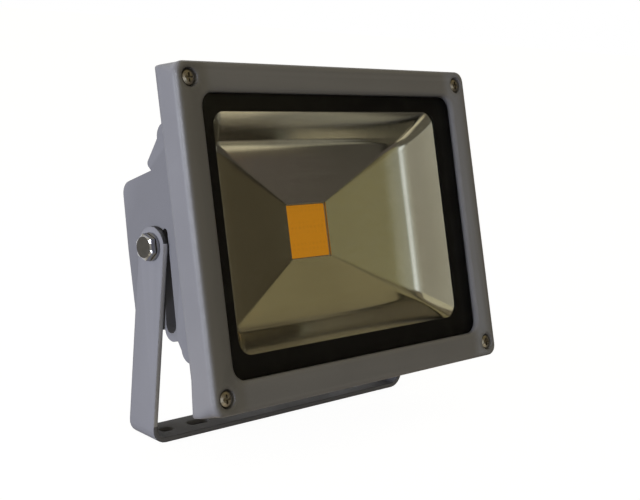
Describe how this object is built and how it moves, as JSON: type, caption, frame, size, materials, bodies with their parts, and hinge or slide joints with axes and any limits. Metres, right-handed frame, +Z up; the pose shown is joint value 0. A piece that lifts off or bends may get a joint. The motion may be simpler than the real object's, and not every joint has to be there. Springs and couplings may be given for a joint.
{
  "type": "led floodlight",
  "caption": "Rectangular floodlight with a square light source in a faceted reflector behind glass, a finned metal housing and a U bracket it tilts in.",
  "frame": {"origin": "centre of the underside of the bracket's base, which is screwed to what carries the lamp", "axes": "+X to the right seen from in front, along the tilt axis; the lamp faces -Y, tilted up; +Z up, from the base to the lamp head"},
  "size_m": [0.18, 0.0865, 0.163],
  "materials": {
    "bracket_paint": "satin",
    "housing_paint": "satin",
    "clear_glass": "polished",
    "black_rubber": "matte",
    "polished_sheet": "polished",
    "yellow_phosphor": "satin",
    "white_resin": "satin",
    "chip_plate": "satin",
    "driver_case": "satin",
    "red_sleeve": "satin",
    "black_sleeve": "satin",
    "brown_sleeve": "satin",
    "blue_sleeve": "satin",
    "black_nylon": "matte",
    "brass": "satin",
    "stainless_steel": "satin"
  },
  "bodies": {
    "bracket": {"mounting_bracket": "bracket_paint"},
    "head": {"cable_gland": "black_nylon", "cover_screw_1": "stainless_steel", "cover_screw_2": "stainless_steel", "cover_screw_3": "stainless_steel", "cover_screw_4": "stainless_steel", "cover_seal": "black_rubber", "driver_screw_1": "stainless_steel", "driver_screw_2": "stainless_steel", "earth_ring": "brass", "earth_screw": "stainless_steel", "emitter_dam": "white_resin", "frame_screw_bottom_left": "stainless_steel", "frame_screw_bottom_right": "stainless_steel", "frame_screw_top_left": "stainless_steel", "frame_screw_top_right": "stainless_steel", "front_frame": "housing_paint", "front_glass": "clear_glass", "gland_lock_nut": "black_nylon", "gland_nut": "black_nylon", "gland_seal": "black_rubber", "glass_seal": "black_rubber", "lamp_lead_black": "black_sleeve", "lamp_lead_red": "red_sleeve", "led_base_plate": "chip_plate", "led_driver": "driver_case", "led_emitter": "yellow_phosphor", "led_screw_1": "stainless_steel", "led_screw_2": "stainless_steel", "rear_cover": "housing_paint", "rear_housing": "housing_paint", "reflector": "polished_sheet", "supply_lead_blue": "blue_sleeve", "supply_lead_brown": "brown_sleeve", "terminal_block": "black_nylon", "terminal_screw_1": "brass", "terminal_screw_2": "brass", "terminal_screw_3": "brass", "tilt_bolt_left": "stainless_steel", "tilt_bolt_right": "stainless_steel", "washer_left": "stainless_steel", "washer_right": "stainless_steel"}
  },
  "joints": [
    {"name": "head_tilt", "type": "hinge", "parent": "bracket", "child": "head", "pos_m": [0, 0, 0.0845], "axis": [-1, 0, 0], "range_deg": [-31, 179]}
  ]
}
